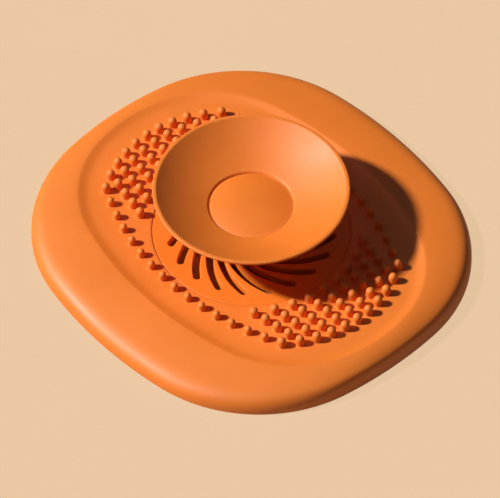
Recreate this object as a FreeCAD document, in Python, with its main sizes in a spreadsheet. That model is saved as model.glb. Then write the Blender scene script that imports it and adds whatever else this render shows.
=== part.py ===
import FreeCAD, Part
import math
import os
from types import SimpleNamespace

import Sketcher

# A silicone sink strainer: a soft square mat with an oval pan, hair-catching pins,
# a slotted grille in the middle and a press-down cup plug on a sliding stem.
# Millimetres, origin under the plug's axis on the resting plane, +Z up,
# X along the longer side of the mat, where the pins stand in two crescents.

SIZES = (
    ("seat_radius", 37.2, "round opening that takes the grille"),
    ("pin_margin", 3.75, "grille's seat to the nearest row of pins"),
    ("row_count", 5, "rows of pins in a crescent"),
    ("row_pitch", 4.75, "step from row to row"),
    ("end_floor", 11.35, "outermost row of a crescent to the middle of the pan's soft step"),
    ("side_floor", 10.35, "single chain of pins to the middle of the pan's soft step"),
    ("end_rim", 8.7, "middle of the pan's soft step to the mat's edge, at an end"),
    ("side_rim", 23.0, "middle of the pan's soft step to the mat's edge, at a side"),
    ("mat_end_radius", 163.0, "bow of the two ends of the mat"),
    ("mat_side_radius", 173.0, "bow of the two long sides of the mat"),
    ("mat_corner_radius", 58.6, "round of the mat's corners"),
    ("rim_height", 9.9, "top of the puffed rim above the resting plane"),
    ("edge_upright", 0.7, "short upright wall under the rounded edge"),
    ("base_round", 0.5, "round where the edge meets the sink"),
    ("pan_end_bow", 6.7, "how much larger the pan's end radius is than its half width"),
    ("pan_corner_bow", 7.3, "how much smaller the pan's corner radius is than its half width"),
    ("pan_side_radius", 142.0, "bow of the pan's sides"),
    ("pan_depth", 1.5, "pan floor below the top of the rim"),
    ("pan_step_width", 6.5, "width of the soft step from the pan to the rim"),
    ("hollow_inset", 5.0, "underside hollow inside the pan's outline"),
    ("cut_overrun", 0.2, "how far a cut runs past the face that it opens"),
    ("ledge_width", 2.8, "ledge that carries the grille's flange"),
    ("ledge_thickness", 1.5, "ledge above the hollow under the pan"),
    ("grille_gap", 0.15, "gap round the grille"),
    ("grille_drop", 0.3, "grille face below the pan floor"),
    ("grille_flange", 2.0, "thickness of the grille's flange"),
    ("plate_depth", 1.2, "slotted plate below the flange"),
    ("hub_depth", 1.0, "hub below the slotted plate"),
    ("hub_wall", 3.4, "wall of the hub round the grommet"),
    ("slot_count", 20, "slots in the swirl"),
    ("slot_width", 2.7, "width of one slot"),
    ("slot_inner_radius", 17.5, "centre of a slot's inner end"),
    ("slot_margin", 2.3, "slotted plate outside the slots"),
    ("slot_turn", 7.5, "direction of the first slot's outer end, degrees"),
    ("slot_swirl_share", 1.12, "turn along a slot for each step outwards, as a share of that step"),
    ("slot_bend", 31.0, "radius of a slot's middle line"),
    ("stem_radius", 5.0, "sliding stem"),
    ("running_gap", 0.05, "radial and end play of the stem and the clip"),
    ("grommet_wall", 1.5, "wall of the grommet round the stem"),
    ("grommet_flange", 0.8, "thickness of the grommet's flanges"),
    ("grommet_lip", 1.6, "reach of the grommet's flanges beyond its neck"),
    ("fit_gap", 0.05, "gap in a pressed or snapped seat"),
    ("clip_reach", 2.4, "reach of the retaining clip beyond the stem"),
    ("clip_thickness", 1.2, "thickness of the retaining clip"),
    ("clip_hold", 0.6, "how far each lip of the clip's mouth closes round the groove"),
    ("clip_bite", 0.9, "depth of the stem's groove for the clip"),
    ("stem_foot", 1.0, "stem below the clip"),
    ("stem_chamfer", 0.5, "lead on the stem's lower end"),
    ("plug_lift", 9.5, "open cup above the grommet"),
    ("cup_overlap", 0.3, "rim of the cup beyond the grille's seat"),
    ("cup_depth", 12.5, "rim of the cup above its flat underside"),
    ("cup_lip", 0.9, "round of the cup's rim"),
    ("bowl_radius", 52.0, "bow of the cup's inside"),
    ("bowl_back_radius", 55.0, "bow of the cup's outside"),
    ("web_inset", 2.85, "flat underside of the cup inside the button's recess"),
    ("web_thickness", 1.8, "cup under the button"),
    ("button_radius", 15.7, "domed button in the cup"),
    ("button_thickness", 2.4, "side of the button"),
    ("button_round", 0.8, "round of the button's edge"),
    ("button_gap", 0.15, "gap round the button"),
    ("dome_height", 1.4, "rise of the button's dome"),
    ("spigot_radius", 3.0, "spigot under the button"),
    ("spigot_length", 7.0, "spigot inside the stem"),
    ("pin_radius", 1.6, "hair pin under its round head"),
    ("pin_draft", 0.15, "how much wider a hair pin is at the pan"),
    ("pin_height", 4.3, "hair pin above the pan"),
    ("crescent_radius", 47.0, "bow of a crescent's rows"),
    ("rank_count", 4, "pins of a row on each side of its middle one"),
    ("rank_pitch", 5.75, "step along the outer row"),
    ("rank_spread", 0.25, "how much the step grows with each row inwards"),
    ("chain_count", 14, "pins in a single chain between the crescents"),
    ("chain_radius", 108.3, "bow of a single chain"),
)


class Size:
    """A length that keeps both its sheet expression and its number through sums."""

    def __init__(self, text, value):
        self.text = text
        self.value = value

    def __add__(self, other):
        return Size(f"({self.text} + {other.text})", self.value + other.value)

    def __sub__(self, other):
        return Size(f"({self.text} - {other.text})", self.value - other.value)

    def __mul__(self, share):
        return Size(f"({self.text} * {share})", self.value * share)

    def __truediv__(self, count):
        return Size(f"({self.text} / {count})", self.value / count)


def turned(radius, angle):
    """Both coordinates of a point at a radius, in a direction given in degrees."""
    along = Size(f"{radius.text} * cos({angle.text} * 1 deg)",
                 radius.value * math.cos(math.radians(angle.value)))
    across = Size(f"{radius.text} * sin({angle.text} * 1 deg)",
                  radius.value * math.sin(math.radians(angle.value)))
    return along, across


doc = FreeCAD.newDocument("sink_strainer")
sheet = doc.addObject("Spreadsheet::Sheet", "Sizes")
for row, (name, value, meaning) in enumerate(SIZES, start=1):
    sheet.set(f"A{row}", meaning)
    sheet.set(f"B{row}", str(value))
    sheet.setAlias(f"B{row}", name)
doc.recompute()
size = SimpleNamespace(**{name: Size(f"Sizes.{name}", float(sheet.get(name))) for name, _, _ in SIZES})
zero = Size("0", 0.0)


# Bodies, sketches and features

def new_body(label):
    body = doc.addObject("PartDesign::Body", label)
    body.Label = label
    return body


def new_sketch(body, name, plane="XY_Plane", height=zero):
    sketch = body.newObject("Sketcher::SketchObject", name)
    support = next(item for item in body.Origin.OriginFeatures if item.Role == plane)
    sketch.AttachmentSupport = (support, [""])
    sketch.MapMode = "FlatFace"
    sketch.setExpression("AttachmentOffset.Base.z", height.text)
    return sketch


def bind(sketch, kind, places, length):
    """Add a constraint whose value follows the sheet."""
    index = sketch.addConstraint(Sketcher.Constraint(kind, *places, length.value))
    sketch.setExpression(f"Constraints[{index}]", length.text)


def tie(sketch, kind, *places):
    sketch.addConstraint(Sketcher.Constraint(kind, *places))


def circle_arc(centre, radius, start, end):
    return Part.ArcOfCircle(Part.Circle(centre, FreeCAD.Vector(0, 0, 1), radius), start, end)


def bent_edge(start, end, radius, side):
    """Arc from start to end with its centre on the left (1) or right (-1) of the way."""
    way = end - start
    left = FreeCAD.Vector(-way.y, way.x, 0).normalize()
    reach = math.sqrt(radius ** 2 - (way.Length / 2) ** 2)
    centre = (start + end) * 0.5 + left * (reach * side)
    first, last = (start, end) if side > 0 else (end, start)
    angles = [math.atan2(point.y - centre.y, point.x - centre.x) for point in (first, last)]
    return circle_arc(centre, radius, *angles)


def profile(body, name, corners):
    """Closed half section on the XZ plane: corners of radius and height, with an
    optional (bend radius, side) for the edge that leaves a corner."""
    sketch = new_sketch(body, name, "XZ_Plane")
    points = [FreeCAD.Vector(corner[0].value, corner[1].value, 0) for corner in corners]
    starts, ends = [], []
    for index, corner in enumerate(corners):
        start, end = points[index], points[(index + 1) % len(points)]
        if len(corner) > 2:
            bend, side = corner[2]
            edge = sketch.addGeometry(bent_edge(start, end, bend.value, side))
            bind(sketch, "Radius", (edge,), bend)
            order = (1, 2) if side > 0 else (2, 1)
        else:
            edge = sketch.addGeometry(Part.LineSegment(start, end))
            order = (1, 2)
        starts.append((edge, order[0]))
        ends.append((edge, order[1]))
    for index, (radius, height, *_) in enumerate(corners):
        tie(sketch, "Coincident", *ends[index - 1], *starts[index])
        if radius.value:
            bind(sketch, "DistanceX", (-1, 1, *starts[index]), radius)
        else:
            tie(sketch, "PointOnObject", *starts[index], -2)
        bind(sketch, "DistanceY", (-1, 1, *starts[index]), height)
    return sketch


def revolved(body, name, corners, kind="PartDesign::Revolution"):
    sketch = profile(body, f"{name}Section", corners)
    feature = body.newObject(kind, name)
    feature.Profile = sketch
    feature.ReferenceAxis = (sketch, ["V_Axis"])
    feature.Angle = 360
    return feature


def oval(body, name, form, inset=zero, height=zero):
    """Rounded square of eight tangent arcs: bowed ends and sides with round corners."""
    sketch = new_sketch(body, name, height=height)
    end_shift = form.half_length - form.ends
    side_shift = form.half_width - form.sides
    ends, sides, corners = form.ends - inset, form.sides - inset, form.corners - inset
    end_reach = form.ends.value - form.corners.value
    side_reach = form.sides.value - form.corners.value
    base = FreeCAD.Vector(end_shift.value, 0, 0)
    way = FreeCAD.Vector(0, side_shift.value, 0) - base
    along = (end_reach ** 2 - side_reach ** 2 + way.Length ** 2) / (2 * way.Length)
    aside = math.sqrt(end_reach ** 2 - along ** 2)
    unit = FreeCAD.Vector(way).normalize()
    corner = base + unit * along + FreeCAD.Vector(-unit.y, unit.x, 0) * aside
    if corner.x + corner.y < 0:
        corner = base + unit * along - FreeCAD.Vector(-unit.y, unit.x, 0) * aside
    low = math.atan2(corner.y, corner.x - end_shift.value)
    high = math.atan2(corner.y - side_shift.value, corner.x)
    half, full = math.pi, 2 * math.pi
    arcs = (
        (end_shift.value, 0, ends, -low, low),
        (corner.x, corner.y, corners, low, high),
        (0, side_shift.value, sides, high, half - high),
        (-corner.x, corner.y, corners, half - high, half - low),
        (-end_shift.value, 0, ends, half - low, half + low),
        (-corner.x, -corner.y, corners, half + low, half + high),
        (0, -side_shift.value, sides, half + high, full - high),
        (corner.x, -corner.y, corners, full - high, full - low),
    )
    for x, y, radius, start, end in arcs:
        sketch.addGeometry(circle_arc(FreeCAD.Vector(x, y, 0), radius.value, start, end))
    for index in range(len(arcs)):
        tie(sketch, "Tangent", index, 2, (index + 1) % len(arcs), 1)
    right, first_corner, top, left, bottom = 0, 1, 2, 4, 6
    for arc, axis in ((right, -1), (left, -1), (top, -2), (bottom, -2)):
        tie(sketch, "PointOnObject", arc, 3, axis)
    for arc, radius in ((right, ends), (top, sides), (first_corner, corners)):
        bind(sketch, "Radius", (arc,), radius)
    for pair in ((right, left), (top, bottom), (first_corner, 3), (first_corner, 5), (first_corner, 7)):
        tie(sketch, "Equal", *pair)
    bind(sketch, "DistanceX", (-1, 1, right, 3), end_shift)
    bind(sketch, "DistanceX", (left, 3, -1, 1), end_shift)
    bind(sketch, "DistanceY", (-1, 1, top, 3), side_shift)
    bind(sketch, "DistanceY", (bottom, 3, -1, 1), side_shift)
    return sketch


def sketch_feature(body, kind, name, sketch, length=None, upwards=False):
    """Pad or pocket of a sketch, through everything where no length is given."""
    feature = body.newObject(kind, name)
    feature.Profile = sketch
    feature.Reversed = upwards
    if length is None:
        feature.Type = "ThroughAll"
    else:
        feature.setExpression("Length", length.text)
    return feature


def level_edges(feature, height):
    """Names of the edges that lie at a height."""
    return [f"Edge{index}" for index, edge in enumerate(feature.Shape.Edges, start=1)
            if all(abs(vertex.Z - height.value) < vertex.Tolerance for vertex in edge.Vertexes)]


def rounded(body, name, base, height, radius):
    doc.recompute()
    fillet = body.newObject("PartDesign::Fillet", name)
    fillet.Base = (base, level_edges(base, height))
    fillet.setExpression("Radius", radius.text)
    return fillet


# Heights that several pieces share

pan_top = size.rim_height - size.pan_depth
grille_top = pan_top - size.grille_drop
ledge_top = grille_top - size.grille_flange
hollow_top = ledge_top - size.ledge_thickness
plate_bottom = ledge_top - size.plate_depth
hub_bottom = plate_bottom - size.hub_depth
grommet_top = grille_top + size.grommet_flange
grommet_bottom = hub_bottom - size.grommet_flange
clip_top = grommet_bottom - size.running_gap
clip_bottom = clip_top - size.clip_thickness
groove_bottom = clip_bottom - size.running_gap
stem_bottom = groove_bottom - size.stem_foot
web_bottom = grommet_top + size.plug_lift
button_bottom = web_bottom + size.web_thickness
button_edge = button_bottom + size.button_thickness
cup_rim = web_bottom + size.cup_depth
spigot_bottom = web_bottom - size.spigot_length

# Radii and reaches that several pieces share

nearest_pins = size.seat_radius + size.pin_margin
outermost_pins = nearest_pins + size.row_pitch * (size.row_count.value - 1)
ledge_radius = size.seat_radius - size.ledge_width
grommet_bore = size.stem_radius + size.running_gap
grommet_neck = grommet_bore + size.grommet_wall
hub_bore = grommet_neck + size.fit_gap
hub_radius = hub_bore + size.hub_wall
plate_radius = ledge_radius - size.grille_gap
groove_radius = size.stem_radius - size.clip_bite
clip_bore = groove_radius + size.running_gap
clip_radius = size.stem_radius + size.clip_reach
spigot_bore = size.spigot_radius + size.fit_gap


# Mat: puffed rim with a round edge, oval pan on a soft step, hollow underside

def make_mat():
    mat = new_body("mat")
    half_length, half_width = outermost_pins + size.end_floor, nearest_pins + size.side_floor
    pan = SimpleNamespace(half_length=half_length, half_width=half_width,
                          ends=half_width + size.pan_end_bow, sides=size.pan_side_radius,
                          corners=half_width - size.pan_corner_bow)
    outline = SimpleNamespace(half_length=half_length + size.end_rim, half_width=half_width + size.side_rim,
                              ends=size.mat_end_radius, sides=size.mat_side_radius,
                              corners=size.mat_corner_radius)
    slab = sketch_feature(mat, "PartDesign::Pad", "Slab", oval(mat, "Outline", outline), size.rim_height)
    crown = rounded(mat, "RoundEdge", slab, size.rim_height, size.rim_height - size.edge_upright)
    rounded(mat, "BaseRound", crown, zero, size.base_round)

    rise = size.pan_depth + size.cut_overrun
    step_shares = (0.0, 0.25, 0.5, 0.75, 1.0)
    sections = []
    for number, share in enumerate(step_shares):
        climb_share = (1 - math.cos(math.pi * share)) / 2
        sections.append(oval(mat, f"PanSection{number}", pan, size.pan_step_width * (0.5 - share),
                             pan_top + rise * climb_share))
    step = mat.newObject("PartDesign::SubtractiveLoft", "Pan")
    step.Profile = sections[0]
    step.Sections = sections[1:]

    sketch_feature(mat, "PartDesign::Pocket", "Hollow", oval(mat, "HollowOutline", pan, size.hollow_inset),
                   hollow_top, upwards=True)
    below, above = hollow_top - size.cut_overrun, pan_top + size.cut_overrun
    revolved(mat, "GrilleSeat", (
        (zero, below),
        (ledge_radius, below),
        (ledge_radius, ledge_top),
        (size.seat_radius, ledge_top),
        (size.seat_radius, above),
        (zero, above),
    ), "PartDesign::Groove")
    return mat


# Hair pins: two crescents of rows and ranks, joined by a single chain on each side

def pin_places():
    rows, outer_rank = int(size.row_count.value), int(size.rank_count.value) + 1
    bow = size.crescent_radius.value

    def crescent_pin(row, rank):
        across = rank * (size.rank_pitch.value + size.rank_spread.value * row)
        sag = bow - math.sqrt(bow ** 2 - across ** 2)
        return outermost_pins.value - size.row_pitch.value * row - sag, across

    crescent = [crescent_pin(row, rank) for row in range(rows) for rank in range(1 - outer_rank, outer_rank)]
    crescent += [crescent_pin(0, rank) for rank in (-outer_rank, outer_rank)]
    places = [(side * x, y) for side in (1, -1) for x, y in crescent]

    half_turn = math.asin(crescent_pin(0, outer_rank)[0] / size.chain_radius.value)
    steps = int(size.chain_count.value) + 1
    for number in range(1, steps):
        turn = half_turn * (2 * number / steps - 1)
        x = size.chain_radius.value * math.sin(turn)
        y = nearest_pins.value - size.chain_radius.value * (1 - math.cos(turn))
        places += [(x, y), (x, -y)]
    return places


def make_hair_pins():
    foot, neck = (size.pin_radius + size.pin_draft).value, size.pin_radius.value
    top = size.pin_height.value
    shoulder = FreeCAD.Vector(neck, 0, top - neck)
    diagonal_share = math.sqrt(0.5)
    crown = FreeCAD.Vector(neck * diagonal_share, 0, top - neck + neck * diagonal_share)
    outline = [
        Part.LineSegment(FreeCAD.Vector(0, 0, 0), FreeCAD.Vector(foot, 0, 0)).toShape(),
        Part.LineSegment(FreeCAD.Vector(foot, 0, 0), shoulder).toShape(),
        Part.Arc(shoulder, crown, FreeCAD.Vector(0, 0, top)).toShape(),
        Part.LineSegment(FreeCAD.Vector(0, 0, top), FreeCAD.Vector(0, 0, 0)).toShape(),
    ]
    pin = Part.Face(Part.Wire(outline)).revolve(FreeCAD.Vector(0, 0, 0), FreeCAD.Vector(0, 0, 1), 360)
    pins = doc.addObject("Part::Feature", "hair_pins")
    pins.Label = "hair_pins"
    pins.Shape = Part.makeCompound([pin.translated(FreeCAD.Vector(x, y, 0)) for x, y in pin_places()])
    pins.Placement.Base = FreeCAD.Vector(0, 0, pan_top.value)
    return pins


# Grille: flanged plate on the mat's ledge, with a swirl of slots and a hub

def slot_sketch(grille):
    """One bent slot: two arcs about one centre, closed by a round at each end."""
    sketch = new_sketch(grille, "SlotOutline", height=grille_top)
    half_width = size.slot_width / 2
    near_radius, far_radius = size.slot_inner_radius, plate_radius - size.slot_margin - half_width
    swirl = size.slot_swirl_share
    sweep = Size(f"({swirl.text} * log({far_radius.text} / {near_radius.text}) * 180 / pi)",
                 math.degrees(swirl.value * math.log(far_radius.value / near_radius.value)))
    inner = turned(near_radius, size.slot_turn - sweep)
    outer = turned(far_radius, size.slot_turn)
    start, end = (FreeCAD.Vector(x.value, y.value, 0) for x, y in (inner, outer))
    middle = bent_edge(start, end, size.slot_bend.value, 1)
    first, last = middle.FirstParameter, middle.LastParameter
    bend_centre, half = middle.Center, math.pi
    far = sketch.addGeometry(circle_arc(bend_centre, (size.slot_bend + half_width).value, first, last))
    near = sketch.addGeometry(circle_arc(bend_centre, (size.slot_bend - half_width).value, first, last))
    head = sketch.addGeometry(circle_arc(end, half_width.value, last, last + half))
    tail = sketch.addGeometry(circle_arc(start, half_width.value, first + half, first + 2 * half))
    for pair in ((far, 2, head, 1), (head, 2, near, 2), (near, 1, tail, 1), (tail, 2, far, 1)):
        tie(sketch, "Tangent", *pair)
    tie(sketch, "Coincident", far, 3, near, 3)
    for cap, (along, across) in ((tail, inner), (head, outer)):
        bind(sketch, "DistanceX", (-1, 1, cap, 3), along)
        bind(sketch, "DistanceY", (-1, 1, cap, 3), across)
    bind(sketch, "Radius", (far,), size.slot_bend + half_width)
    bind(sketch, "Radius", (tail,), half_width)
    return sketch


def make_grille():
    grille = new_body("grille")
    flange_radius = size.seat_radius - size.grille_gap
    revolved(grille, "Disc", (
        (hub_bore, hub_bottom),
        (hub_radius, hub_bottom),
        (hub_radius, plate_bottom),
        (plate_radius, plate_bottom),
        (plate_radius, ledge_top),
        (flange_radius, ledge_top),
        (flange_radius, grille_top),
        (hub_bore, grille_top),
    ))
    outline = slot_sketch(grille)
    slot = sketch_feature(grille, "PartDesign::Pocket", "Slot", outline)
    swirl = grille.newObject("PartDesign::PolarPattern", "Swirl")
    swirl.Originals = [slot]
    swirl.Axis = (outline, ["N_Axis"])
    swirl.Angle = 360
    swirl.setExpression("Occurrences", size.slot_count.text)
    grille.Tip = swirl
    return grille


# Grommet: soft spool snapped into the hub, which grips the stem

def make_stem_grommet():
    grommet = new_body("stem_grommet")
    flange_radius = grommet_neck + size.grommet_lip
    revolved(grommet, "Spool", (
        (grommet_bore, grommet_bottom),
        (flange_radius, grommet_bottom),
        (flange_radius, hub_bottom),
        (grommet_neck, hub_bottom),
        (grommet_neck, grille_top),
        (flange_radius, grille_top),
        (flange_radius, grommet_top),
        (grommet_bore, grommet_top),
    ))
    return grommet


# Retaining clip: open ring in the stem's groove, under the grommet

def make_retaining_clip():
    clip = new_body("retaining_clip")
    revolved(clip, "Ring", (
        (clip_bore, clip_bottom),
        (clip_radius, clip_bottom),
        (clip_radius, clip_top),
        (clip_bore, clip_top),
    ))
    mouth = new_sketch(clip, "MouthOutline", height=clip_top)
    reach, half_mouth = clip_radius + size.cut_overrun, groove_radius - size.clip_hold
    corners = [FreeCAD.Vector(x, y, 0) for x, y in (
        (0, -half_mouth.value), (reach.value, -half_mouth.value), (reach.value, half_mouth.value),
        (0, half_mouth.value))]
    for index, corner in enumerate(corners):
        mouth.addGeometry(Part.LineSegment(corner, corners[(index + 1) % len(corners)]))
    lower, outer, upper, inner = range(4)
    for edge in (lower, outer, upper, inner):
        tie(mouth, "Coincident", edge, 2, (edge + 1) % len(corners), 1)
    for edge in (lower, upper):
        tie(mouth, "Horizontal", edge)
    tie(mouth, "Vertical", outer)
    tie(mouth, "PointOnObject", inner, 1, -2)
    tie(mouth, "PointOnObject", inner, 2, -2)
    bind(mouth, "DistanceX", (-1, 1, outer, 1), reach)
    bind(mouth, "DistanceY", (outer, 1, -1, 1), half_mouth)
    bind(mouth, "DistanceY", (-1, 1, outer, 2), half_mouth)
    sketch_feature(clip, "PartDesign::Pocket", "Mouth", mouth)
    return clip


# Plug: stem that slides in the grommet, cup that closes on the seat, button in the cup

def make_plug_stem():
    stem = new_body("plug_stem")
    revolved(stem, "Shaft", (
        (zero, stem_bottom),
        (size.stem_radius - size.stem_chamfer, stem_bottom),
        (size.stem_radius, stem_bottom + size.stem_chamfer),
        (size.stem_radius, groove_bottom),
        (groove_radius, groove_bottom),
        (groove_radius, grommet_bottom),
        (size.stem_radius, grommet_bottom),
        (size.stem_radius, web_bottom),
        (spigot_bore, web_bottom),
        (spigot_bore, spigot_bottom),
        (zero, spigot_bottom),
    ))
    return stem


def make_plug_cup():
    cup = new_body("plug_cup")
    recess_radius = size.button_radius + size.button_gap
    cup_radius = size.seat_radius + size.cup_overlap
    revolved(cup, "Bowl", (
        (spigot_bore, web_bottom),
        (recess_radius - size.web_inset, web_bottom, (size.bowl_back_radius, 1)),
        (cup_radius, cup_rim - size.cup_lip, (size.cup_lip, 1)),
        (cup_radius - size.cup_lip, cup_rim, (size.bowl_radius, -1)),
        (recess_radius, button_edge),
        (recess_radius, button_bottom),
        (spigot_bore, button_bottom),
    ))
    return cup


def make_plug_button():
    button = new_body("plug_button")
    crown_radius = size.button_radius - size.button_round
    crown_top = button_edge + size.dome_height
    rise, reach = size.dome_height, crown_radius
    dome_radius = Size(f"({reach.text}^2 + {rise.text}^2) / (2 * {rise.text})",
                       (reach.value ** 2 + rise.value ** 2) / (2 * rise.value))
    revolved(button, "Dome", (
        (zero, spigot_bottom),
        (size.spigot_radius, spigot_bottom),
        (size.spigot_radius, button_bottom),
        (size.button_radius, button_bottom),
        (size.button_radius, button_edge - size.button_round, (size.button_round, 1)),
        (crown_radius, button_edge, (dome_radius, 1)),
        (zero, crown_top),
    ))
    return button


pieces = [make() for make in (make_mat, make_hair_pins, make_grille, make_stem_grommet, make_retaining_clip,
                              make_plug_stem, make_plug_cup, make_plug_button)]
doc.recompute()

for item in doc.Objects:
    if {"Invalid", "Error"} & set(item.State):
        raise RuntimeError(f"{item.Label} failed: {item.State}")
for item in doc.Objects:
    if item.TypeId in ("PartDesign::Pocket", "PartDesign::Groove", "PartDesign::SubtractiveLoft"):
        if item.Shape.Volume >= item.BaseFeature.Shape.Volume:
            raise RuntimeError(f"{item.Label} cuts nothing")
for piece in pieces:
    if piece.Shape.isNull() or not piece.Shape.isValid():
        raise RuntimeError(f"{piece.Label} has no valid shape")

os.makedirs("parts", exist_ok=True)
for piece in pieces:
    piece.Shape.exportStep(f"parts/{piece.Label}.step")
    print(f"{piece.Label}: {len(piece.Shape.Solids)} solid(s), {piece.Shape.Volume / 1000:.2f} cm3")
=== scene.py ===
import math
import random

import bmesh
import bpy
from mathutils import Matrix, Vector


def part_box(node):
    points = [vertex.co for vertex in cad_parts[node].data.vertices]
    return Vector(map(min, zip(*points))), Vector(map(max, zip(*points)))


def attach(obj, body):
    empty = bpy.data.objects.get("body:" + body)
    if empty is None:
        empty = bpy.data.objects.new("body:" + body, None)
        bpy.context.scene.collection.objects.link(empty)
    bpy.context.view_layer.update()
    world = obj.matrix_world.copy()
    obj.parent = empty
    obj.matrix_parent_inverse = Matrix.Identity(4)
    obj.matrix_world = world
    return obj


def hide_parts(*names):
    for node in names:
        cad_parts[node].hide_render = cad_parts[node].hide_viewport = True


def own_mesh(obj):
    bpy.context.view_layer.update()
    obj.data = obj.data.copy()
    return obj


# A silicone sink strainer, open, on a pale floor. Metres, +Z up along the plug's stem,
# X from one crescent of hair pins to the other.

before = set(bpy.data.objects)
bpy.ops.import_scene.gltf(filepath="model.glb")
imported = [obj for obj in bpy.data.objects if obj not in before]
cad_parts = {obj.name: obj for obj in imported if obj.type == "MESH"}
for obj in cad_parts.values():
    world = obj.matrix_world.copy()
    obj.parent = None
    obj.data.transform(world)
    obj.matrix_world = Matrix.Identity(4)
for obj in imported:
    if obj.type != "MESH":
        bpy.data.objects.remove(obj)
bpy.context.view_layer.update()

MM = 0.001

# Heights that the frame gives.
pins_low, pins_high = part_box("hair_pins")
grille_low, grille_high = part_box("grille")
grommet_low, grommet_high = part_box("stem_grommet")
stem_low, stem_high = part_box("plug_stem")
cup_low, cup_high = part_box("plug_cup")
button_low, button_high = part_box("plug_button")

PAN_TOP = pins_low.z
PIN_HEIGHT = pins_high.z - pins_low.z
GRILLE_TOP = grille_high.z
CUP_FOOT = cup_low.z

# Outlines of the mat and of the oval pan in it, each of end, side and corner arcs.
HALF_LENGTH = 80.0 * MM
HALF_WIDTH = 74.4 * MM
MAT_END_BOW = 163.0 * MM
MAT_SIDE_BOW = 173.0 * MM
MAT_CORNER_BOW = 58.6 * MM
END_RIM = 9.6 * MM
SIDE_RIM = 24.1 * MM
PAN_HALF_LENGTH = HALF_LENGTH - END_RIM
PAN_HALF_WIDTH = HALF_WIDTH - SIDE_RIM
PAN_END_BOW = PAN_HALF_WIDTH + 6.7 * MM
PAN_SIDE_BOW = 142.0 * MM
PAN_CORNER_BOW = PAN_HALF_WIDTH - 7.3 * MM
REACH_NEAR = 20.0 * MM
REACH_FAR = 120.0 * MM
REACH_HALVINGS = 36

# Rim of the mat: an upright foot, then a tight corner round and a wide crown that share its
# height, and the soft step to the pan. END is at the narrow rims, SIDE at the broad ones.
EDGE_UPRIGHT = 0.7 * MM
BASE_ROUND = 0.35 * MM
END_CORNER_SHARE = 0.44
SIDE_CORNER_SHARE = 0.6
END_CORNER = 1.8 * MM
SIDE_CORNER = 7.6 * MM
END_CORNER_POWER = 2.6
SIDE_CORNER_POWER = 3.0
END_CROWN_SHARE = 0.9
SIDE_CROWN_SHARE = 0.97
END_CROWN_POWER = 1.8
SIDE_CROWN_POWER = 1.35
END_STEP_RISE = 0.95 * MM
SIDE_STEP_RISE = 0.98 * MM
END_STEP_SLOPE = 0.3
SIDE_STEP_SLOPE = 0.27
STEP_SOFTNESS = 0.7 * MM
STEP_STRAIGHT = 30.0
CREST_SOFTNESS = 0.05 * MM

# Hollow under the mat, and the seat and ledge that hold the grille.
HOLLOW_INSET = 5.0 * MM
HOLLOW_TOP = 4.6 * MM
SEAT_RADIUS = 37.1 * MM
SEAT_LIP = 0.45 * MM
SEAT_CHAMFER = 0.1 * MM
SEAT_EDGE_WIDTH = 0.85 * MM
SEAT_EDGE_DROP = PAN_TOP - GRILLE_TOP + 0.15 * MM
LEDGE_TOP = 6.1 * MM
LEDGE_BORE = 34.4 * MM

# Hair pins: crescents in rows and ranks, and the chains along the sides.
PIN_RADIUS = 1.65 * MM
PIN_FOOT = 1.72 * MM
PIN_FILLET = 0.25 * MM
PIN_SINK = 0.1 * MM
PIN_STAND = 0.97 * PIN_HEIGHT
PIN_SHANK_SHARES = (0.35, 0.7)
PIN_DOME_STEPS = 7
PIN_TURNS = 28
PIN_SEED = 12
PIN_SHORTFALL = 0.02
PIN_LEAN = 0.02
CRESCENT_FRONT = 59.95 * MM
CRESCENT_BOW = 47.0 * MM
ROW_COUNT = 5
ROW_PITCH = 4.75 * MM
RANK_COUNT = 4
FRONT_RANK_COUNT = 5
RANK_PITCH = 5.75 * MM
RANK_SPREAD = 0.25 * MM
CHAIN_PIN_SHARE = 0.86
CHAIN_REACH = 40.95 * MM
CHAIN_BOW = 108.3 * MM
CHAIN_COUNT = 14

# Grille.
GRILLE_RADIUS = 37.08 * MM
GRILLE_TURNS = 240
FLANGE_UNDER = GRILLE_TOP - 2.0 * MM
PLATE_RADIUS = 34.25 * MM
PLATE_UNDER = GRILLE_TOP - 3.2 * MM
HUB_RADIUS = 10.0 * MM
HUB_UNDER = grille_low.z
HUB_BORE = 6.6 * MM
HUB_TURNS = 96
SLOT_COUNT = 20
SLOT_HALF_WIDTH = 1.35 * MM
SLOT_INNER = 17.5 * MM
SLOT_OUTER = 30.6 * MM
SLOT_TURN = math.radians(7.5)
SLOT_SWIRL = 1.12
SLOT_BEND = 31.0 * MM
SLOT_SIDE_STEPS = 16
SLOT_END_STEPS = 10
SLOT_ROUND = 0.3 * MM
RIM_ROUND = 0.35 * MM
UNDER_ROUND = 0.2 * MM
EDGE_SUPPORT = 0.12 * MM

# Stem and its grommet.
STEM_TURNS = 96
STEM_RADIUS = 5.0 * MM
STEM_CHAMFER = 0.5 * MM
STEM_ROUND = 0.12 * MM
GROOVE_RADIUS = 4.1 * MM
GROOVE_LOW = 1.8 * MM
GROOVE_HIGH = 3.1 * MM
SOCKET_RADIUS = 3.05 * MM
SOCKET_FLOOR = 11.4 * MM
GROMMET_BORE = 5.05 * MM
GROMMET_NECK = 6.55 * MM
GROMMET_REACH = 8.15 * MM
GROMMET_FLANGE = 0.8 * MM
GROMMET_ROUND = 0.25 * MM

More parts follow.
